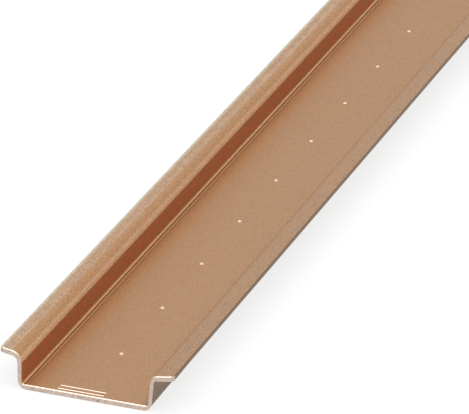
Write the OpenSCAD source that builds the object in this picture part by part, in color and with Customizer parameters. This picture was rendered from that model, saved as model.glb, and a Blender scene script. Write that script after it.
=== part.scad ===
// Top-hat mounting rail, roll-formed from one strip of copper.
// +Y runs along the rail, +Z points out of the open side. The origin is at the
// middle of the rail, on the underside of the floor.

/* [Rail] */
// Length of the rail
rail_l = 1000; // [250:50:2000]
// Overall width across the two flange tips
rail_w = 35; // [34:0.5:40]
// Height from the underside of the floor to the root of the flanges
rail_h = 7.5; // [7:0.5:15]

/* [Strip] */
// Thickness of the strip
strip_t = 1; // [0.8:0.1:1.5]
// Radius of the slit edges at the flange tips
edge_r = 0.3; // [0.1:0.05:0.35]

/* [Bends] */
// Width over the outside of the two walls, at the underside of the floor
channel_w = 27; // [24:0.5:28]
// Inside radius of each bend
bend_r = 1; // [0.4:0.1:1.2]
// Angle by which the walls lean outwards
wall_lean = 2.5; // [0:0.5:6]
// Angle by which the flanges rise towards their tips
flange_rise = 9; // [0:1:12]

/* [Punch marks] */
// Spacing of the marks along the rail
mark_pitch = 25; // [20:1:50]
// Distance from the cut end to the first mark
mark_start = 21.7; // [5:0.1:25]
// Diameter of a mark at the floor surface
mark_d = 0.9; // [0.5:0.1:1.5]
// Depth of a mark
mark_depth = 0.35; // [0.1:0.05:0.6]

/* [Hidden] */
copper = [0.72, 0.45, 0.32];
round_fn = 48;
outer_r = bend_r + strip_t;
foot_turn = 90 - wall_lean;
head_turn = foot_turn - flange_rise;

// Straight run of the floor, from the middle to the foot bend
foot_run = outer_r * tan(foot_turn / 2);
floor_run = channel_w / 2 - foot_run;
// Distance up the wall's outer face from the floor's plane to the head bend
head_z = rail_h - outer_r * cos(flange_rise);
head_run = (head_z + bend_r * sin(wall_lean)) / cos(wall_lean);
wall_run = head_run - foot_run;
// Straight run of the flange, so that its rounded tip ends at half of rail_w
head_x = channel_w / 2 + head_run * sin(wall_lean) + bend_r * cos(wall_lean);
tip_x = rail_w / 2 - edge_r;
flange_run = (tip_x - head_x + (bend_r + edge_r) * sin(flange_rise)) / cos(flange_rise);

mark_count = floor((rail_l - mark_start - mark_d) / mark_pitch) + 1;
over = 0.01;

// The strip's section is drawn as a path that starts at the middle of the floor
// and heads for +X, with the strip's lower face on the X axis. Each stretch
// draws itself and carries what follows, its children, at its far end.

// Straight stretch of length l
module straight(l) {
    square([l, strip_t]);
    translate([l, 0]) children();
}

// Bend that turns the path by angle a about a centre at height y, through a
// ring whose inside radius is bend_r
module bend(a, y) {
    turn = sign(y) * a;
    start = sign(y) * -90;
    reach = 2 * outer_r;
    corner = reach / cos(a / 2);
    translate([0, y]) {
        intersection() {
            difference() {
                circle(r = outer_r, $fn = round_fn);
                circle(r = bend_r, $fn = round_fn);
            }
            polygon([for (ray = [[0, 0], [reach, 0], [corner, turn / 2], [reach, turn]])
                ray[0] * [cos(start + ray[1]), sin(start + ray[1])]]);
        }
        rotate(turn) translate([0, -y]) children();
    }
}

module bend_up(a) {
    bend(a, outer_r) children();
}

module bend_down(a) {
    bend(a, -bend_r) children();
}

// Slit edge of the strip, with both its corners rounded
module slit_edge() {
    translate([-over, edge_r]) square([edge_r + over, strip_t - 2 * edge_r]);
    for (y = [edge_r, strip_t - edge_r])
        translate([0, y]) circle(r = edge_r, $fn = round_fn);
}

module half_section() {
    straight(floor_run) bend_up(foot_turn) straight(wall_run)
        bend_down(head_turn) straight(flange_run) slit_edge();
}

module section() {
    half_section();
    mirror([1, 0]) half_section();
}

// Conical punch mark, point down, its rim at the floor surface
module punch_mark() {
    grow = (mark_depth + over) / mark_depth;
    translate([0, 0, -mark_depth])
        cylinder(h = mark_depth * grow, d1 = 0, d2 = mark_d * grow, $fn = round_fn);
}

module rail() {
    color(copper) difference() {
        rotate([90, 0, 0]) linear_extrude(rail_l, center = true) section();
        for (i = [0:mark_count - 1])
            translate([0, mark_start + i * mark_pitch - rail_l / 2, strip_t]) punch_mark();
    }
}

rail();
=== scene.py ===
"""A length of top-hat mounting rail in bare rolled copper, modelled around its CAD frame."""

import math

import bmesh
import bpy
from mathutils import Matrix, Vector


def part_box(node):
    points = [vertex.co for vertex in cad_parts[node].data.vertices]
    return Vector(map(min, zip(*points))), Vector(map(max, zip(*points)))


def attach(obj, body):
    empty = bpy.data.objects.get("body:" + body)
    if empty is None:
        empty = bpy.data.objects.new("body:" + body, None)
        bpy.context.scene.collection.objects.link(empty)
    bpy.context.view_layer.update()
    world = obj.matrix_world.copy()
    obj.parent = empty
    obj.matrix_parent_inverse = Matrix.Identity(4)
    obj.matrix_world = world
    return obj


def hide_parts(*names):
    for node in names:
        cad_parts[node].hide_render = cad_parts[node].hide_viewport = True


bl_info = {
    "name": "Copper mounting rail",
    "version": (1, 0, 0),
    "blender": (4, 5, 0),
    "location": "3D View > Sidebar > Rail",
    "description": "Rolls a top-hat mounting rail, shears its ends and sets its stage",
    "category": "Add Mesh",
}

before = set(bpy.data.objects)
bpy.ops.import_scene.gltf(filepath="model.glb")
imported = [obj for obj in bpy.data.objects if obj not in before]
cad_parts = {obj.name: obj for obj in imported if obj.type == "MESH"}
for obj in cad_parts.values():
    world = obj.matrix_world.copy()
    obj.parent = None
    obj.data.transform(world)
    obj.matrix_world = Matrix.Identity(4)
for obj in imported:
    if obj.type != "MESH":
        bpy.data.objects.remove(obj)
RAIL_LO, RAIL_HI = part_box("rail")
MM = 0.001
NEAR = 1e-6

# Material slots of the rail's mesh
ROLLED, BACK, SLIT, SHEARED, PUNCHED = range(5)

# Where the finishes of the upper face lie, and its painted highlights, reflections and shade.
# A pair says where a finish starts and where it is full. A set of four goes on with where it
# starts to fade and where it ends. Distances across are from the middle of the rail, on both
# sides or, with a minus, on the left alone. Heights are from the underside.
FLANGE_ACROSS = (13.2 * MM, 15.5 * MM)
# Painted shade on the right flange.
RIGHT_SHADE_ACROSS = (-5 * MM, 5 * MM)
# Painted reflection of the left wall on the floor and beside its head bend.
FLOOR_REFLECTION_ACROSS = (-6 * MM, -11.7 * MM)
BEND_REFLECTION_ACROSS = (-13.6 * MM, -14.2 * MM, -14.6 * MM, -15.2 * MM)
# Painted shade beside the left rim.
RIM_SHADE_ACROSS = (-15.9 * MM, -16.4 * MM, -16.6 * MM, -16.95 * MM)
RIM_ACROSS = (-16.6 * MM, -17.1 * MM)
# Painted highlight in the foot crease.
CREASE_HIGHLIGHT_ACROSS = (12.15 * MM, 12.35 * MM)
CREASE_HIGHLIGHT_UP = (1.55 * MM, 1.35 * MM)
# Painted shadow on either side of the form lines.
LINE_SHADOW_WALL_SIDE = (11.95 * MM, 12.1 * MM, 12.24 * MM, 12.38 * MM)
LINE_SHADOW_FLOOR_SIDE = (11.2 * MM, 11.36 * MM, 11.44 * MM, 11.58 * MM)
# Painted reflection: the height band of the inner walls' redder colour.
WALL_REFLECTION_UP = (1.35 * MM, 1.6 * MM, 5.2 * MM, 5.6 * MM)
# Matt metal and painted highlight on the head bends.
BEND_HIGHLIGHT_UP = (5.2 * MM, 5.6 * MM, 6.2 * MM, 7.0 * MM)
BEND_HIGHLIGHT_ACROSS = (14.5 * MM, 14.0 * MM)
GRAIN_ACROSS = (11.9 * MM, 12.6 * MM)


# ---------------------------------------------------------------- settings


def length_prop(name, description, default):
    return bpy.props.FloatProperty(
        name=name, description=description, default=default,
        precision=5, unit="LENGTH", subtype="DISTANCE")


def angle_prop(name, description, degrees):
    return bpy.props.FloatProperty(
        name=name, description=description, default=math.radians(degrees),
        unit="ROTATION", subtype="ANGLE")


def colour_prop(name, description, default):
    return bpy.props.FloatVectorProperty(
        name=name, description=description, default=default,
        size=3, min=0, max=1, subtype="COLOR")


def steps_prop(name, description, default):
    return bpy.props.IntProperty(
        name=name, description=description, default=default, min=2, max=32)


class StripSettings(bpy.types.PropertyGroup):
    """Sizes of the rolled strip"""

    width: length_prop("Width", "Overall width across the flange tips", RAIL_HI.x - RAIL_LO.x)
    length: length_prop("Length", "Length of the rail", RAIL_HI.y - RAIL_LO.y)
    root_height: length_prop("Height", "Height to the root of the flanges", 7.5 * MM)
    thickness: length_prop("Thickness", "Thickness of the strip", 1.0 * MM)
    channel_width: length_prop("Channel", "Width over the outside of the walls", 27.0 * MM)
    bend_radius: length_prop("Bend radius", "Inside radius of each bend", 1.0 * MM)
    crease: length_prop("Foot crease", "Radius in the corner between floor and wall", 0.40 * MM)
    wide_head: length_prop("Wide bend", "Inside radius of the left-hand head bend", 1.4 * MM)
    tight_head: length_prop("Tight bend", "Inside radius of the right-hand head bend", 0.5 * MM)
    thinning: length_prop("Thinning", "Thickness that the walls lose in rolling", 0.15 * MM)
    edge_radius: length_prop("Edge radius", "Radius of the slit edges", 0.3 * MM)
    wall_lean: angle_prop("Wall lean", "Angle by which the walls lean outwards", 2.5)
    flange_rise: angle_prop("Flange rise", "Angle by which the flanges rise", 9)
    line_offset: length_prop("Form line", "Distance of a form line from the wall", 0.65 * MM)
    line_width: length_prop("Line width", "Width of a form line", 0.42 * MM)
    line_height: length_prop("Line height", "Height of a form line", 0.055 * MM)
    smooth_angle: angle_prop("Smoothing", "Sharpest turn that is shaded smooth", 32)
    bend_steps: steps_prop("Bend steps", "Faces round each bend", 12)
    edge_steps: steps_prop("Edge steps", "Faces round each slit or sheared edge", 6)


class PunchSettings(bpy.types.PropertyGroup):
    """Sizes of the punch marks along the floor"""

    pitch: length_prop("Pitch", "Spacing of the marks", 25.0 * MM)
    start: length_prop("Start", "Distance from the cut end to the first mark", 21.7 * MM)
    diameter: length_prop("Diameter", "Diameter of a mark at the floor", 0.9 * MM)
    depth: length_prop("Depth", "Depth of a mark", 0.35 * MM)
    rim: length_prop("Rim", "Height of the metal raised round a mark", 0.16 * MM)
    patch: length_prop("Patch", "Side of the square of floor round a mark", 3.0 * MM)
    margin: length_prop("Margin", "Width of the plain floor beside that square", 1.0 * MM)


class EndSettings(bpy.types.PropertyGroup):
    """Sizes of the two sheared ends"""

    corner: length_prop("Corner", "Radius of the four corners, seen from above", 1.0 * MM)
    corner_steps: steps_prop("Corner steps", "Faces round each of these corners", 8)
    score_length: length_prop("Score length", "Length of the score lines near the cut end", 9.0 * MM)
    score_width: length_prop("Score width", "Width of a score line", 0.24 * MM)
    score_depth: length_prop("Score depth", "Depth of a score line", 0.08 * MM)
    score_start: length_prop("Score start", "Distance of the first line from the end", 1.2 * MM)
    score_gap: length_prop("Score gap", "Distance between the two lines", 1.5 * MM)
    score_side: length_prop("Score side", "Distance of the lines' middle to the right", -1.2 * MM)


class ColourSettings(bpy.types.PropertyGroup):
    """Colours of the bare metal, and of the highlights, reflections and shade painted on it"""

    rolled: colour_prop("Rolled face", "Copper on the channel's floor", (0.42, 0.237, 0.119))
    # Painted reflection: the inner walls are reddened to stand in for the copper floor mirrored in
    # them.
    wall: colour_prop("Inner wall", "Redder copper on the inner walls", (0.485, 0.178, 0.068))
    # The head bends are lighter: matt rubbed metal, with a painted highlight in its colour.
    bend: colour_prop("Head bend", "Copper rubbed matt on the head bends", (0.575, 0.335, 0.185))
    # The smudge colour also paints the shade beside the left rim.
    smudge: colour_prop("Smudges", "Dull smudges on the flanges", (0.34, 0.225, 0.15))
    # Painted reflection: warmer copper standing in for the left wall mirrored in the floor and
    # flange.
    copper_reflection: colour_prop("Glow", "Warmer copper of the floor near the left wall", (0.52, 0.25, 0.085))
    rim: colour_prop("Rim", "Copper greyed along the left rim", (0.58, 0.50, 0.36))
    burnished: colour_prop("Burnished face", "Copper rubbed pale by the rolls", (0.56, 0.385, 0.26))
    # Partly painted shade: the back is dull copper, darkened further for the outer walls under the
    # flanges.
    back: colour_prop("Back", "Dull copper on the underside", (0.207, 0.145, 0.092))
    # Painted shade: the slit edges are darkened. The same colour paints the shadow beside the form
    # lines and the pits of the cut ends.
    slit: colour_prop("Slit edge", "Tarnished copper of the slit edges", (0.19, 0.112, 0.06))
    sheared: colour_prop("Sheared end", "Fresh metal of the cut ends", (0.67, 0.54, 0.455))
    # Partly painted highlight: fresh metal made brighter, also used as the highlight on the rounded
    # ends.
    punched: colour_prop("Punch mark", "Fresh metal in the punch marks", (0.97, 0.80, 0.67))
    floor: colour_prop("Stage floor", "Pale floor under the rail", (0.86, 0.86, 0.86))


# ---------------------------------------------------------------- the strip's section


class Section:
    """Where the corners of the strip's right half lie before they are rounded."""

    def __init__(self, s):
        self.lean = s.wall_lean
        self.rise = s.flange_rise
        self.foot_turn = math.pi / 2 - s.wall_lean
        self.head_turn = self.foot_turn - s.flange_rise
        foot_shift = s.thickness * math.tan(self.foot_turn / 2)
        head_shift = s.thickness * math.tan(self.head_turn / 2)
        inner = s.bend_radius
        outer = s.bend_radius + s.thickness

        head_z = s.root_height - outer * math.cos(self.rise)
        head_run = (head_z + inner * math.sin(self.lean)) / math.cos(self.lean)
        head_x = (s.channel_width / 2 + head_run * math.sin(self.lean)
                  + inner * math.cos(self.lean))
        back_wall = head_run + inner * math.tan(self.head_turn / 2)
        tip_x = s.width / 2 - s.edge_radius
        straight = (tip_x - head_x + (inner + s.edge_radius) * math.sin(self.rise))
        straight = straight / math.cos(self.rise) + s.edge_radius

        up_wall = Vector((math.sin(self.lean), math.cos(self.lean)))
        self.back_foot = Vector((s.channel_width / 2, 0))
        self.back_head = self.back_foot + up_wall * back_wall
        self.foot = Vector((s.channel_width / 2 - foot_shift, s.thickness))
        self.head = self.foot + up_wall * (back_wall - foot_shift + head_shift)
        along_flange = Vector((math.cos(self.rise), math.sin(self.rise)))
        self.tip = self.head + along_flange * (straight + outer * math.tan(self.head_turn / 2))


# ---------------------------------------------------------------- modelling helpers


def deselect_objects():
    if bpy.context.object and bpy.context.object.mode != "OBJECT":
        bpy.ops.object.mode_set(mode="OBJECT")
    bpy.ops.object.select_all(action="DESELECT")


def edit(obj):
    """Opens obj in edit mode with nothing selected."""
    deselect_objects()
    obj.select_set(True)
    bpy.context.view_layer.objects.active = obj
    bpy.ops.object.mode_set(mode="EDIT")
    bpy.ops.mesh.select_mode(type="VERT")
    bpy.ops.mesh.select_all(action="DESELECT")


def close():
    bpy.ops.object.mode_set(mode="OBJECT")


def select(obj, kind, test, needed=True):
    """Selects the verts, edges or faces of obj for which test is true, and counts them."""
    bpy.ops.mesh.select_mode(type={"verts": "VERT", "edges": "EDGE", "faces": "FACE"}[kind])
    bpy.ops.mesh.select_all(action="DESELECT")
    bm = bmesh.from_edit_mesh(obj.data)
    found = 0
    for element in getattr(bm, kind):
        if test(element):
            element.select_set(True)
            found += 1
    bm.select_flush_mode()
    bmesh.update_edit_mesh(obj.data)
    if needed and not found:
        raise RuntimeError(f"no {kind} of {obj.name} were found to work on")
    return found


def extrude(move):
    bpy.ops.mesh.extrude_region_move(TRANSFORM_OT_translate={"value": move})


def apply_modifiers(obj):
    deselect_objects()
    obj.select_set(True)
    bpy.context.view_layer.objects.active = obj
    for modifier in list(obj.modifiers):
        bpy.ops.object.modifier_apply(modifier=modifier.name)


def rename(name):
    obj = bpy.context.object
    obj.name = name
    obj.data.name = name
    return obj


# ---------------------------------------------------------------- the strip


def punch_patch(obj, punch, top):
    """Turns the middle of a square plane into a conical mark with a raised rim."""
    half = punch.patch / 2
    bpy.ops.mesh.select_all(action="SELECT")
    bpy.ops.mesh.subdivide(number_cuts=5)
    bpy.ops.mesh.inset(thickness=half * 0.3)
    bpy.ops.mesh.delete(type="FACE")
    select(obj, "verts", lambda v: max(abs(v.co.x), abs(v.co.y)) < half - NEAR)
    bpy.ops.transform.tosphere(value=1)
    ring = [v.co.copy() for v in bmesh.from_edit_mesh(obj.data).verts if v.select]
    radius = sum(math.hypot(co.x, co.y) for co in ring) / len(ring)
    height = ring[0].z

    mouth = punch.diameter / 2
    profile = [
        (mouth * 1.90, 0),
        (mouth * 1.30, punch.rim * 0.15),
        (mouth * 1.02, punch.rim * 0.75),
        (mouth * 0.86, punch.rim),
        (mouth * 0.72, punch.rim * 0.85),
        (mouth * 0.56, 0),
        (mouth * 0.40, -punch.depth * 0.30),
        (mouth * 0.22, -punch.depth * 0.68),
        (mouth * 0.10, -punch.depth * 0.92),
    ]
    for step, (r, z) in enumerate(profile):
        if step:
            extrude((0, 0, 0))
        scale = r / radius
        bpy.ops.transform.resize(value=(scale, scale, 1), center_override=(0, 0, 0))
        bpy.ops.transform.translate(value=(0, 0, top + z - height))
        radius = r
        height = top + z
    extrude((0, 0, top - punch.depth - height))
    bpy.ops.mesh.merge(type="CENTER")
    # Fresh metal with a painted highlight: the ring round the mouth gets the bright punched metal.
    select(obj, "faces",
           lambda f: mouth * 0.5 < f.calc_center_median().xy.length < mouth * 1.1)
    obj.active_material_index = PUNCHED
    bpy.ops.object.material_slot_assign()


def extend_side(obj, side, x, moves):
    """Extrudes the edges that lie at x, by each move in turn."""
    select(obj, "edges", lambda e: all(abs(v.co.x - x) < NEAR for v in e.verts))
    for across, up in moves:
        extrude((side * across, 0, up))


def bend_side(obj, sec, s, side, start):
    """Carries the floor on from start, with its form line, up the wall and out to the tip."""
    line = sec.foot.x - s.line_offset
    corners = [
        Vector((start, s.thickness)),
        Vector((line - s.line_width / 2, s.thickness)),
        Vector((line, s.thickness + s.line_height)),
        Vector((line + s.line_width / 2, s.thickness)),
        sec.foot,
        sec.head,
        sec.tip,
    ]
    extend_side(obj, side, side * start, [b - a for a, b in zip(corners, corners[1:])])


def roll_segment(sec, s, punch, colours):
    """One pitch of the strip's upper face, with its mark in the middle."""
    deselect_objects()
    bpy.ops.mesh.primitive_plane_add(size=punch.patch, location=(0, 0, s.thickness))
    obj = rename("copper_rail")
    bpy.ops.object.transform_apply(location=True, rotation=True, scale=True)
    for material in rail_materials(colours):
        obj.data.materials.append(material)
    edit(obj)
    punch_patch(obj, punch, s.thickness)

    half = punch.patch / 2
    for end in (1, -1):
        select(obj, "edges", lambda e: all(abs(v.co.y - end * half) < NEAR for v in e.verts))
        extrude((0, end * (punch.pitch - punch.patch) / 2, 0))
    # Each long strip of floor beside the marks is one face, so its outer edge is one edge.
    beside = half + punch.margin
    for side in (1, -1):
        extend_side(obj, side, side * half, [(beside - half, 0)])
        select(obj, "faces", lambda f: side * f.calc_center_median().x > half + NEAR)
        bpy.ops.mesh.dissolve_faces()
        select(obj, "verts", lambda v: side * v.co.x > beside - NEAR
               and abs(v.co.y) < punch.pitch / 2 - NEAR)
        bpy.ops.mesh.dissolve_verts()
        bend_side(obj, sec, s, side, beside)
    bpy.ops.mesh.select_all(action="SELECT")
    bpy.ops.mesh.remove_doubles(threshold=NEAR)
    bpy.ops.mesh.normals_make_consistent(inside=False)
    close()
    bm = bmesh.new()
    bm.from_mesh(obj.data)
    up = sum(f.normal.z * f.calc_area() for f in bm.faces)
    bm.free()
    if up < 0:
        edit(obj)
        bpy.ops.mesh.select_all(action="SELECT")
        bpy.ops.mesh.flip_normals()
        close()
    return obj


def lay_out(obj, s, punch):
    """Repeats the segment past both ends of the rail, and gives the places of the marks."""
    marks = math.floor((s.length - punch.start - punch.diameter) / punch.pitch) + 1
    first = punch.start - s.length / 2
    repeat = obj.modifiers.new("Repeat", "ARRAY")
    repeat.count = marks + 2
    repeat.use_relative_offset = False
    repeat.use_constant_offset = True
    repeat.constant_offset_displace = (0, punch.pitch, 0)
    repeat.use_merge_vertices = True
    repeat.merge_threshold = NEAR
    apply_modifiers(obj)
    edit(obj)
    bpy.ops.mesh.select_all(action="SELECT")
    bpy.ops.transform.translate(value=(0, first - punch.pitch, 0))
    close()
    return [first + i * punch.pitch for i in range(marks)]


def thicken(obj, sec, s, punch, marks):
    """Gives the strip its thickness, with a flat underside."""
    wall = obj.modifiers.new("Thickness", "SOLIDIFY")
    wall.thickness = s.thickness
    wall.offset = -1
    wall.use_even_offset = True
    wall.material_offset = BACK - ROLLED
    wall.material_offset_rim = SLIT - ROLLED
    upper_faces = len(obj.data.polygons)
    apply_modifiers(obj)

    # The faces below are numbered on from the upper ones. Those under a mark become one face.
    half = punch.patch / 2
    below = s.thickness * 0.4

    def under_mark(face):
        middle = face.calc_center_median()
        along = (middle.y - marks[0] + punch.pitch / 2) % punch.pitch - punch.pitch / 2
        return face.index >= upper_faces and abs(middle.x) < half and abs(along) < half

    edit(obj)
    select(obj, "faces", under_mark)
    bpy.ops.mesh.dissolve_faces()
    select(obj, "verts", lambda v: v.co.z < below)
    bpy.ops.transform.resize(value=(1, 1, 0), center_override=(0, 0, 0))
    # The underside stays plain below the form lines.
    inner = sec.foot.x / 2
    outer = sec.back_foot.x - s.line_offset
    select(obj, "edges",
           lambda e: all(v.co.z < below and inner < abs(v.co.x) < outer for v in e.verts))
    bpy.ops.mesh.dissolve_edges(use_verts=True)
    select(obj, "faces", lambda f: f.calc_center_median().z < below and f.normal.z < 0)
    obj.active_material_index = BACK
    bpy.ops.object.material_slot_assign()
    close()


def lengthwise(edge, x, z):
    """True for an edge that runs along the rail at x and z."""
    return all(abs(v.co.x - x) < 10 * NEAR and abs(v.co.z - z) < 10 * NEAR for v in edge.verts)


def thin_walls(obj, sec, s):
    """Draws the walls thinner: the left one on its inside, the right one on its outside."""
    edit(obj)
    for side, corners in ((-1, (sec.foot, sec.head)), (1, (sec.back_foot, sec.back_head))):
        for corner in corners:
            select(obj, "edges", lambda e: lengthwise(e, side * corner.x, corner.y))
            bpy.ops.transform.translate(value=(-s.thinning, 0, 0))
    close()


def round_bends(obj, sec, s):
    """Rounds the sharp corners of the strip, inside and outside, each to its own radius."""
    t = s.thickness
    bends = [
        (-sec.foot.x - s.thinning, sec.foot.y, sec.foot_turn, s.crease),
        (sec.foot.x, sec.foot.y, sec.foot_turn, s.crease),
        (-sec.back_foot.x, sec.back_foot.y, sec.foot_turn, s.bend_radius + t),
        (sec.back_foot.x - s.thinning, sec.back_foot.y, sec.foot_turn, s.bend_radius + t),
        (-sec.head.x - s.thinning, sec.head.y, sec.head_turn, s.wide_head + t),
        (sec.head.x, sec.head.y, sec.head_turn, s.tight_head + t),
        (-sec.back_head.x, sec.back_head.y, sec.head_turn, s.wide_head),
        (sec.back_head.x - s.thinning, sec.back_head.y, sec.head_turn, s.tight_head),
    ]
    edit(obj)
    for x, z, turn, radius in bends:
        select(obj, "edges", lambda e: lengthwise(e, x, z))
        bpy.ops.mesh.bevel(
            offset=radius * math.tan(turn / 2), segments=s.bend_steps, affect="EDGES")
    close()


def finishes(edge):
    return {face.material_index for face in edge.link_faces}


def shear_ends(obj, s, ends):
    """Cuts both ends off square and rounds the corners that this leaves."""
    edit(obj)
    for end in (1, -1):
        bpy.ops.mesh.select_all(action="SELECT")
        bpy.ops.mesh.bisect(
            plane_co=(0, end * s.length / 2, 0), plane_no=(0, end, 0),
            clear_outer=True, use_fill=True)
    select(obj, "faces", lambda f: abs(f.calc_center_median().y) > s.length / 2 - NEAR)
    obj.active_material_index = SHEARED
    bpy.ops.object.material_slot_assign()
    select(obj, "edges", lambda e: finishes(e) == {SHEARED, SLIT})
    bpy.ops.mesh.bevel(
        offset=ends.corner, segments=ends.corner_steps, affect="EDGES", material=SHEARED)
    close()


def round_outline(obj, s):
    """Rounds the slit edges above and below and the sheared ends above, and paints a highlight on
    the upper part of the rounded ends.
    """
    edit(obj)
    for outline in (({ROLLED, SLIT}, {ROLLED, SHEARED}), ({BACK, SLIT},)):
        select(obj, "edges", lambda e: finishes(e) in outline)
        bpy.ops.mesh.bevel(offset=s.edge_radius, segments=s.edge_steps, affect="EDGES")
    rounded = s.length / 2 - s.edge_radius
    # Painted highlight: the upward part of the rounded ends gets the bright punched metal.
    select(obj, "faces", lambda f: abs(f.calc_center_median().y) > rounded
           and f.normal.z > 0.5 and abs(f.normal.y) > 0.2)
    obj.active_material_index = PUNCHED
    bpy.ops.object.material_slot_assign()
    # The roundings may bulge a little where they meet, so nothing stands past the width.
    for side in (-1, 1):
        tip = side * s.width / 2
        if select(obj, "verts", lambda v: side * v.co.x > s.width / 2, needed=False):
            bpy.ops.transform.resize(value=(0, 1, 1), center_override=(tip, 0, 0))
    close()


def score_cutter(y, ends, top):
    """A wedge, point down, that cuts one score line across the floor."""
    deselect_objects()
    over = ends.score_depth
    bpy.ops.mesh.primitive_cube_add(size=1, location=(0, 0, 0))
    cutter = rename("score_cutter")
    edit(cutter)
    bpy.ops.mesh.select_all(action="SELECT")
    grow = 2 * ends.score_width
    bpy.ops.transform.resize(value=(ends.score_length + grow, grow, 2 * over))
    select(cutter, "verts", lambda v: v.co.z < 0)
    bpy.ops.transform.resize(
        value=(ends.score_length / (ends.score_length + grow), 0, 1), center_override=(0, 0, 0))
    bpy.ops.mesh.remove_doubles(threshold=NEAR)
    bpy.ops.mesh.select_all(action="SELECT")
    bpy.ops.transform.translate(value=(ends.score_side, y, top))
    bpy.ops.mesh.normals_make_consistent(inside=False)
    close()
    return cutter


def score(obj, s, ends):
    """Scores two plain lines across the floor near the cut end."""
    for step in (0, 1):
        y = ends.score_start + step * ends.score_gap - s.length / 2
        cutter = score_cutter(y, ends, s.thickness)
        for material in obj.data.materials:
            cutter.data.materials.append(material)
        for face in cutter.data.polygons:
            face.material_index = PUNCHED
        cut = obj.modifiers.new("Score", "BOOLEAN")
        cut.operation = "DIFFERENCE"
        cut.solver = "EXACT"
        cut.object = cutter
        apply_modifiers(obj)
        bpy.data.objects.remove(cutter, do_unlink=True)


def smooth(obj, sec, s):
    """Shades the bends smooth and keeps the flats flat and the form lines crisp."""
    crest = sec.foot.x - s.line_offset
    lines = (crest - s.line_width / 2, crest, crest + s.line_width / 2)

    def on_form_line(edge):
        a, b = (v.co for v in edge.verts)
        return (abs(a.x - b.x) < NEAR and a.z > s.thickness * 0.9
                and any(abs(abs(a.x) - x) < 10 * NEAR for x in lines))

    edit(obj)
    select(obj, "edges", on_form_line)
    bpy.ops.mesh.mark_sharp()
    close()
    deselect_objects()
    obj.select_set(True)
    bpy.ops.object.shade_smooth_by_angle(angle=s.smooth_angle, keep_sharp_edges=True)
    weigh = obj.modifiers.new("Weigh", "WEIGHTED_NORMAL")
    weigh.keep_sharp = True
    apply_modifiers(obj)


class RAIL_OT_roll_strip(bpy.types.Operator):
    """Roll the copper strip with its marks, slit edges and sheared ends"""

    bl_idname = "rail.roll_strip"
    bl_label = "Roll the strip"

    def execute(self, context):
        s = context.scene.rail_strip
        punch = context.scene.rail_punch
        ends = context.scene.rail_ends
        colours = context.scene.rail_colours
        sec = Section(s)
        obj = roll_segment(sec, s, punch, colours)
        marks = lay_out(obj, s, punch)
        thicken(obj, sec, s, punch, marks)
        thin_walls(obj, sec, s)
        round_bends(obj, sec, s)
        shear_ends(obj, s, ends)
        round_outline(obj, s)
        score(obj, s, ends)
        smooth(obj, sec, s)
        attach(obj, "root")
        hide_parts("rail")
        return {"FINISHED"}


# ---------------------------------------------------------------- finishes


class Nodes:
    """A node tree that is filled by code, from left to right."""

    def __init__(self, tree):
        self.tree = tree
        self.count = 0

    def add(self, kind, settings=None, **inputs):
        """Adds a node. An input is a number, a colour or another node's output socket."""
        node = self.tree.nodes.new(kind)
        node.location = (200 * self.count, 0)
        self.count += 1
        for key, value in (settings or {}).items():
            setattr(node, key, value)
        for key, value in inputs.items():
            self.feed(node.inputs[key.replace("_", " ")], value)
        return node

    def feed(self, socket, value):
        if isinstance(value, bpy.types.NodeSocket):
            self.tree.links.new(value, socket)
        else:
            socket.default_value = value

    def math(self, operation, a, b=0.0):
        node = self.add("ShaderNodeMath", {"operation": operation})
        self.feed(node.inputs[0], a)
        self.feed(node.inputs[1], b)
        return node.outputs[0]

    def mix(self, factor, a, b):
        """Mixes two colours."""
        node = self.add("ShaderNodeMix", {"data_type": "RGBA"})
        self.feed(node.inputs["Factor"], factor)
        self.feed(node.inputs["A"], a)
        self.feed(node.inputs["B"], b)
        return node.outputs["Result"]

    def paint(self, over, colour, mask, share=1.0):
        """Paints a colour over another one where the mask shows, up to a share of it."""
        return self.mix(self.math("MULTIPLY", mask, share), over, colour)

    def scale(self, colour, factor):
        """Makes a colour lighter or darker by a factor that may change over the surface."""
        node = self.add(
            "ShaderNodeVectorMath", {"operation": "SCALE"}, Vector=colour, Scale=factor)
        return node.outputs["Vector"]

    def mix_values(self, factor, a, b):
        """Mixes two numbers."""
        node = self.add("ShaderNodeMix", {"data_type": "FLOAT"})
        self.feed(node.inputs["Factor"], factor)
        self.feed(node.inputs["A"], a)
        self.feed(node.inputs["B"], b)
        return node.outputs["Result"]

    def span(self, value, low, high, to_low=0.0, to_high=1.0):
        """Maps low..high of value onto to_low..to_high, smoothly and clamped."""
        node = self.add("ShaderNodeMapRange", {"interpolation_type": "SMOOTHSTEP"})
        for key, number in zip(("Value", "From Min", "From Max", "To Min", "To Max"),
                               (value, low, high, to_low, to_high)):
            self.feed(node.inputs[key], number)
        return node.outputs["Result"]

    def band(self, value, start, full, last, end):
        """Rises from 0 at start to 1 at full, and falls from 1 at last to 0 at end."""
        return self.math("MULTIPLY", self.span(value, start, full), self.span(value, end, last))


def group(name, inputs, output):
    """Starts a node group with number inputs and one output, and gives its nodes."""
    tree = bpy.data.node_groups.new(name, "ShaderNodeTree")
    for key, default in inputs.items():
        socket = tree.interface.new_socket(key, in_out="INPUT", socket_type="NodeSocketFloat")
        socket.default_value = default
    tree.interface.new_socket(output, in_out="OUTPUT", socket_type="NodeSocketFloat")
    nodes = Nodes(tree)
    return nodes, tree.nodes.new("NodeGroupInput"), tree.nodes.new("NodeGroupOutput")


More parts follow.
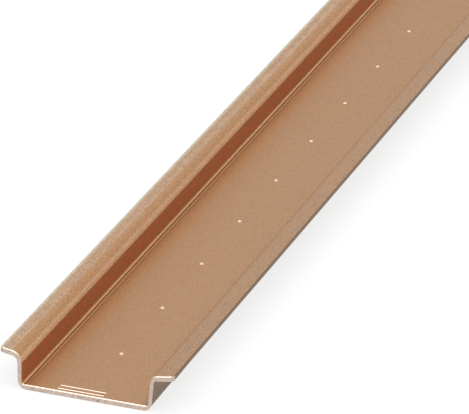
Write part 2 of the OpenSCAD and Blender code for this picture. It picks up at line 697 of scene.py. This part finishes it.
def streak_group():
    """Fine marks that the rolls draw out along the strip, and the shear across it."""
    nodes, given, result = group(
        "Drawn streaks",
        {"Width": 0.3 * MM, "Length": 30 * MM, "Height": 0.3 * MM, "Detail": 3}, "Streaks")
    place = nodes.add("ShaderNodeTexCoord").outputs["Object"]
    axes = nodes.add("ShaderNodeSeparateXYZ", Vector=place)
    scaled = nodes.add(
        "ShaderNodeCombineXYZ",
        X=nodes.math("DIVIDE", axes.outputs["X"], given.outputs["Width"]),
        Y=nodes.math("DIVIDE", axes.outputs["Y"], given.outputs["Length"]),
        Z=nodes.math("DIVIDE", axes.outputs["Z"], given.outputs["Height"]))
    noise = nodes.add(
        "ShaderNodeTexNoise", Vector=scaled.outputs["Vector"], Scale=1.0,
        Detail=given.outputs["Detail"], Roughness=0.6)
    nodes.feed(result.inputs["Streaks"], nodes.span(noise.outputs["Fac"], 0.28, 0.72))
    return nodes.tree


def mottle_group():
    """Soft, uneven patches of tarnish."""
    nodes, given, result = group("Mottling", {"Size": 3 * MM, "Detail": 4}, "Patches")
    place = nodes.add("ShaderNodeTexCoord").outputs["Object"]
    noise = nodes.add(
        "ShaderNodeTexNoise", Vector=place,
        Scale=nodes.math("DIVIDE", 1.0, given.outputs["Size"]),
        Detail=given.outputs["Detail"], Roughness=0.65)
    nodes.feed(result.inputs["Patches"], nodes.span(noise.outputs["Fac"], 0.3, 0.7))
    return nodes.tree


class Metal:
    """A metal material: its shader, and the nodes that lead to it."""

    def __init__(self, name, groups):
        self.material = bpy.data.materials.new(name)
        self.material.use_nodes = True
        self.nodes = Nodes(self.material.node_tree)
        self.groups = groups
        self.shader = self.material.node_tree.nodes["Principled BSDF"]
        self.shader.inputs["Metallic"].default_value = 1

    def streaks(self, width, length, detail=3, height=None):
        node = self.nodes.add("ShaderNodeGroup", {"node_tree": self.groups["streaks"]})
        node.inputs["Width"].default_value = width
        node.inputs["Length"].default_value = length
        node.inputs["Height"].default_value = height or width
        node.inputs["Detail"].default_value = detail
        return node.outputs["Streaks"]

    def patches(self, size, detail=4):
        node = self.nodes.add("ShaderNodeGroup", {"node_tree": self.groups["mottle"]})
        node.inputs["Size"].default_value = size
        node.inputs["Detail"].default_value = detail
        return node.outputs["Patches"]

    def place(self, axis):
        coordinates = self.nodes.add("ShaderNodeTexCoord").outputs["Object"]
        return self.nodes.add("ShaderNodeSeparateXYZ", Vector=coordinates).outputs[axis]

    def finish(self, colour, roughness, height, depth):
        bump = self.nodes.add("ShaderNodeBump", Height=height, Distance=depth)
        self.nodes.feed(self.shader.inputs["Base Color"], colour)
        self.nodes.feed(self.shader.inputs["Roughness"], roughness)
        self.nodes.feed(self.shader.inputs["Normal"], bump.outputs["Normal"])
        return self.material


def tone(colour, factor):
    """The colour, made lighter or darker by a factor."""
    return (*(min(1.0, channel * factor) for channel in colour), 1)


def floor_and_flanges(metal, c, across, on_flange):
    """Colour of the channel's floor, with a painted reflection of the left wall near it, and of the
    flanges, with painted shade on the right one and beside the left rim.
    """
    nodes = metal.nodes
    fine = metal.streaks(0.22 * MM, 24 * MM)
    broad = metal.streaks(0.9 * MM, 400 * MM, 2)
    patches = metal.patches(2.2 * MM)
    smudges = nodes.span(metal.streaks(0.6 * MM, 6 * MM, 4), 0.3, 0.8)
    floor = nodes.mix(patches, tone(c.rolled, 0.98), tone(c.rolled, 1.02))
    floor = nodes.paint(floor, tone(c.rolled, 1.1), fine, 0.05)
    flange = nodes.paint(tone(c.rolled, 1.0), tone(c.burnished, 1.0), broad, 0.8)
    flange = nodes.paint(flange, tone(c.burnished, 1.05), patches, 0.5)
    # Painted shade: the right flange is darkened.
    right_shade = nodes.span(across, *RIGHT_SHADE_ACROSS)
    flange = nodes.paint(flange, tone(c.rolled, 0.94), right_shade, 0.85)
    colour = nodes.mix(on_flange, floor, flange)

    # Painted reflection of the left wall: warm on the floor beside it and on the flange beside its
    # head bend.
    floor_reflection = nodes.math("SUBTRACT", nodes.span(across, *FLOOR_REFLECTION_ACROSS), on_flange)
    colour = nodes.paint(colour, tone(c.copper_reflection, 0.97), floor_reflection, 0.6)
    bend_reflection = nodes.band(across, *BEND_REFLECTION_ACROSS)
    colour = nodes.paint(colour, tone(c.copper_reflection, 0.85), bend_reflection, 0.45)
    smudges = nodes.math("MULTIPLY", smudges, on_flange)
    colour = nodes.paint(colour, tone(c.smudge, 1.0), smudges, 0.28)
    # Painted shade: a darker band along the left flange just inside its rim.
    rim_shade = nodes.band(across, *RIM_SHADE_ACROSS)
    colour = nodes.paint(colour, tone(c.smudge, 1.2), rim_shade, 0.35)
    return nodes.paint(colour, tone(c.rim, 1.0), nodes.span(across, *RIM_ACROSS))


def rolled_copper(c, groups):
    """The face inside the channel and on top of the flanges."""
    metal = Metal("rolled copper", groups)
    nodes = metal.nodes
    across = metal.place("X")
    width = nodes.math("ABSOLUTE", across)
    height = metal.place("Z")
    on_flange = nodes.span(width, *FLANGE_ACROSS)
    colour = floor_and_flanges(metal, c, across, on_flange)

    # Painted highlight: the corner between floor and wall is lightened.
    crease_highlight = nodes.math(
        "MULTIPLY", nodes.span(width, *CREASE_HIGHLIGHT_ACROSS), nodes.span(height, *CREASE_HIGHLIGHT_UP))
    colour = nodes.paint(colour, tone(c.rolled, 1.4), crease_highlight)
    # Painted shadow: dark lines on either side of each form line.
    colour = nodes.paint(
        colour, tone(c.slit, 0.8), nodes.band(width, *LINE_SHADOW_WALL_SIDE), 0.7)
    colour = nodes.paint(
        colour, tone(c.slit, 1.0), nodes.band(width, *LINE_SHADOW_FLOOR_SIDE), 0.35)
    # Painted reflection: the inner walls take a redder colour that stands in for the copper floor
    # mirrored in them.
    colour = nodes.paint(colour, tone(c.wall, 1.0), nodes.band(height, *WALL_REFLECTION_UP))
    # The head bends are matt rubbed metal, and their lighter colour is a painted highlight.
    matt_bend_highlight = nodes.math(
        "MULTIPLY", nodes.band(height, *BEND_HIGHLIGHT_UP), nodes.span(width, *BEND_HIGHLIGHT_ACROSS))
    colour = nodes.paint(colour, tone(c.bend, 1.0), matt_bend_highlight)

    speckle = nodes.span(metal.streaks(0.26 * MM, 0.8 * MM), 0.1, 0.9, -1.0, 1.0)
    strength = nodes.span(width, *GRAIN_ACROSS, 0.10, 0.15)
    shade = nodes.math("ADD", nodes.math("MULTIPLY", speckle, strength), 1.0)
    colour = nodes.scale(colour, shade)

    nodes.feed(metal.shader.inputs["Metallic"], nodes.span(matt_bend_highlight, 0.0, 1.0, 0.85, 0.15))
    relief = nodes.mix_values(
        0.85, metal.streaks(0.22 * MM, 24 * MM), metal.patches(0.24 * MM, 5))
    roughness = nodes.span(relief, 0.1, 0.9, 0.36, 0.52)
    return metal.finish(colour, roughness, relief, 0.006 * MM)


def dull_copper(c, groups):
    """The back of the strip, dull copper darkened further as painted shade under the flanges."""
    metal = Metal("dull copper", groups)
    fine = metal.streaks(0.3 * MM, 18 * MM)
    patches = metal.patches(4 * MM)
    colour = metal.nodes.mix(patches, tone(c.back, 0.88), tone(c.back, 1.12))
    colour = metal.nodes.paint(colour, tone(c.rolled, 0.8), fine, 0.3)
    roughness = metal.nodes.span(patches, 0.0, 1.0, 0.46, 0.56)
    return metal.finish(colour, roughness, fine, 0.008 * MM)


def slit_copper(c, groups):
    """The slit edges of the strip, darkened as painted shade and drawn out lengthwise."""
    metal = Metal("slit copper", groups)
    fine = metal.streaks(0.12 * MM, 12 * MM)
    colour = metal.nodes.mix(fine, tone(c.slit, 0.8), tone(c.slit, 1.25))
    roughness = metal.nodes.span(fine, 0.0, 1.0, 0.34, 0.46)
    return metal.finish(colour, roughness, fine, 0.01 * MM)


def sheared_copper(c, groups):
    """The cut ends, torn by the shear."""
    metal = Metal("sheared copper", groups)
    nodes = metal.nodes
    grains = metal.patches(0.3 * MM, 6)
    smears = metal.patches(1.6 * MM, 2)
    tears = metal.streaks(0.16 * MM, 1 * MM, 3, 1.5 * MM)
    pits = nodes.span(metal.patches(0.8 * MM, 2), 0.985, 1.0)
    colour = nodes.mix(tears, tone(c.sheared, 0.62), tone(c.sheared, 1.24))
    colour = nodes.paint(colour, tone(c.sheared, 1.25), grains, 0.4)
    colour = nodes.paint(colour, tone(c.sheared, 0.72), smears, 0.35)
    colour = nodes.paint(colour, tone(c.slit, 0.8), pits, 0.6)
    roughness = nodes.span(grains, 0.0, 1.0, 0.42, 0.6)
    return metal.finish(colour, roughness, nodes.mix_values(0.5, tears, grains), 0.05 * MM)


def punched_copper(c, groups):
    """Metal pressed bright by the punch, lightened further as a painted highlight; also the
    highlight painted on the rounded ends.
    """
    metal = Metal("punched copper", groups)
    grains = metal.patches(0.2 * MM, 3)
    colour = metal.nodes.mix(grains, tone(c.punched, 0.82), tone(c.punched, 1.08))
    roughness = metal.nodes.span(grains, 0.0, 1.0, 0.16, 0.26)
    return metal.finish(colour, roughness, grains, 0.01 * MM)


def rail_materials(c):
    groups = {"streaks": streak_group(), "mottle": mottle_group()}
    makers = (rolled_copper, dull_copper, slit_copper, sheared_copper, punched_copper)
    return [make(c, groups) for make in makers]


# ---------------------------------------------------------------- the stage


class StageSettings(bpy.types.PropertyGroup):
    """Camera and light"""

    camera_x: length_prop("Camera X", "Distance of the camera to the right", 0.3091)
    camera_y: length_prop("Camera Y", "Place of the camera along the rail", -1.4444)
    camera_z: length_prop("Camera Z", "Height of the camera", 0.4381)
    yaw: angle_prop("Yaw", "Turn of the camera to the right of +Y", -16.60)
    pitch: angle_prop("Pitch", "Angle by which the camera looks down", 21.78)
    roll: angle_prop("Roll", "Turn of the camera about its own line of sight", 3.21)
    lens: bpy.props.FloatProperty(name="Lens", description="Focal length in mm", default=438.3)
    sky: bpy.props.FloatProperty(
        name="Sky", description="Strength of the even light all round", default=1.0)
    horizon: bpy.props.FloatProperty(
        name="Horizon", description="Share of the sky's strength low down", default=0.75)
    zenith: bpy.props.FloatProperty(
        name="Zenith", description="Share of the sky's strength high up", default=1.15)
    lamp: bpy.props.FloatProperty(
        name="Softbox", description="Power of the softbox in watts", default=30.0)
    lamp_size: length_prop("Softbox size", "Side of the softbox", 3.0)
    lamp_y: length_prop("Softbox Y", "Place of the softbox along the rail", -1.0)
    lamp_z: length_prop("Softbox Z", "Height of the softbox", 2.5)
    floor_size: length_prop("Floor", "Side of the floor", 30.0)
    shadow: bpy.props.FloatProperty(
        name="Shadow", description="Share of the floor's shadow that shows", default=0.22,
        min=0, max=1, subtype="FACTOR")


def look(stage):
    """The camera's matrix, from its place and its three angles."""
    forward = Vector((
        math.sin(stage.yaw) * math.cos(stage.pitch),
        math.cos(stage.yaw) * math.cos(stage.pitch),
        -math.sin(stage.pitch)))
    level = Vector((math.cos(stage.yaw), -math.sin(stage.yaw), 0))
    upright = level.cross(forward)
    right = math.cos(stage.roll) * level + math.sin(stage.roll) * upright
    up = math.cos(stage.roll) * upright - math.sin(stage.roll) * level
    turn = Matrix((right, up, -forward)).transposed().to_4x4()
    return Matrix.Translation((stage.camera_x, stage.camera_y, stage.camera_z)) @ turn


def white_paper(colour, shadow):
    """Matt paper that keeps only part of its shadow for rays that see it or mirror it."""
    material = bpy.data.materials.new("white paper")
    material.use_nodes = True
    nodes = Nodes(material.node_tree)
    shader = material.node_tree.nodes["Principled BSDF"]
    shader.inputs["Base Color"].default_value = (*colour, 1)
    shader.inputs["Roughness"].default_value = 0.9
    shader.inputs["Specular IOR Level"].default_value = 0
    path = nodes.add("ShaderNodeLightPath").outputs
    seen = nodes.math("MAXIMUM", path["Is Camera Ray"], path["Is Glossy Ray"])
    seen = nodes.math("MAXIMUM", seen, path["Is Transmission Ray"])
    white = nodes.add("ShaderNodeEmission", Strength=1.0)
    mixed = nodes.add("ShaderNodeMixShader", Fac=nodes.math("MULTIPLY", seen, 1 - shadow))
    material.node_tree.links.new(shader.outputs[0], mixed.inputs[1])
    material.node_tree.links.new(white.outputs[0], mixed.inputs[2])
    output = material.node_tree.nodes["Material Output"]
    material.node_tree.links.new(mixed.outputs[0], output.inputs["Surface"])
    return material


class RAIL_OT_set_stage(bpy.types.Operator):
    """Lay the pale floor and set the soft light and the camera"""

    bl_idname = "rail.set_stage"
    bl_label = "Set the stage"

    def execute(self, context):
        stage = context.scene.rail_stage
        colours = context.scene.rail_colours
        deselect_objects()
        bpy.ops.mesh.primitive_plane_add(size=stage.floor_size, location=(0, 0, 0))
        floor = rename("stage_floor")
        paper = white_paper(colours.floor, stage.shadow)
        floor.data.materials.append(paper)

        world = bpy.data.worlds.new("studio")
        world.use_nodes = True
        background = world.node_tree.nodes["Background"]
        background.inputs["Color"].default_value = (1, 1, 1, 1)
        nodes = Nodes(world.node_tree)
        direction = nodes.add("ShaderNodeTexCoord").outputs["Generated"]
        upward = nodes.add("ShaderNodeSeparateXYZ", Vector=direction).outputs["Z"]
        sky = nodes.span(
            upward, 0.0, 0.8, stage.sky * stage.horizon, stage.sky * stage.zenith)
        seen = nodes.add("ShaderNodeLightPath").outputs["Is Camera Ray"]
        nodes.feed(background.inputs["Strength"], nodes.mix_values(seen, sky, 1.0))
        context.scene.world = world

        bpy.ops.object.light_add(type="AREA", location=(0, stage.lamp_y, stage.lamp_z))
        lamp = bpy.context.object
        lamp.name = "softbox"
        lamp.data.shape = "RECTANGLE"
        lamp.data.size = stage.lamp_size
        lamp.data.size_y = stage.lamp_size
        lamp.data.energy = stage.lamp
        lamp.visible_camera = False

        bpy.ops.object.camera_add()
        camera = bpy.context.object
        camera.name = "camera"
        camera.data.lens = stage.lens
        camera.data.sensor_width = 36
        camera.data.clip_start = 0.05
        camera.data.clip_end = 100
        camera.matrix_world = look(stage)
        context.scene.camera = camera
        context.scene.view_settings.view_transform = "Standard"
        return {"FINISHED"}


class RAIL_PT_sidebar(bpy.types.Panel):
    """Sizes, colours and steps of the rail"""

    bl_label = "Copper rail"
    bl_space_type = "VIEW_3D"
    bl_region_type = "UI"
    bl_category = "Rail"

    def draw(self, context):
        layout = self.layout
        for title, group in SETTINGS.items():
            box = layout.box()
            box.label(text=title)
            settings = getattr(context.scene, group)
            for prop in settings.bl_rna.properties:
                if prop.identifier not in ("rna_type", "name"):
                    box.prop(settings, prop.identifier)
        for operator in OPERATORS:
            layout.operator(operator.bl_idname)


SETTINGS = {
    "Strip": "rail_strip",
    "Punch marks": "rail_punch",
    "Sheared ends": "rail_ends",
    "Colours": "rail_colours",
    "Stage": "rail_stage",
}
OPERATORS = (RAIL_OT_roll_strip, RAIL_OT_set_stage)
GROUPS = (StripSettings, PunchSettings, EndSettings, ColourSettings, StageSettings)


def register():
    for cls in (*GROUPS, *OPERATORS, RAIL_PT_sidebar):
        bpy.utils.register_class(cls)
    for group, cls in zip(SETTINGS.values(), GROUPS):
        setattr(bpy.types.Scene, group, bpy.props.PointerProperty(type=cls))


def unregister():
    for group in SETTINGS.values():
        delattr(bpy.types.Scene, group)
    for cls in (RAIL_PT_sidebar, *reversed(OPERATORS), *reversed(GROUPS)):
        bpy.utils.unregister_class(cls)


def main():
    register()
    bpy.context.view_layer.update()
    bpy.ops.rail.roll_strip()
    bpy.ops.rail.set_stage()


if __name__ == "__main__":
    main()
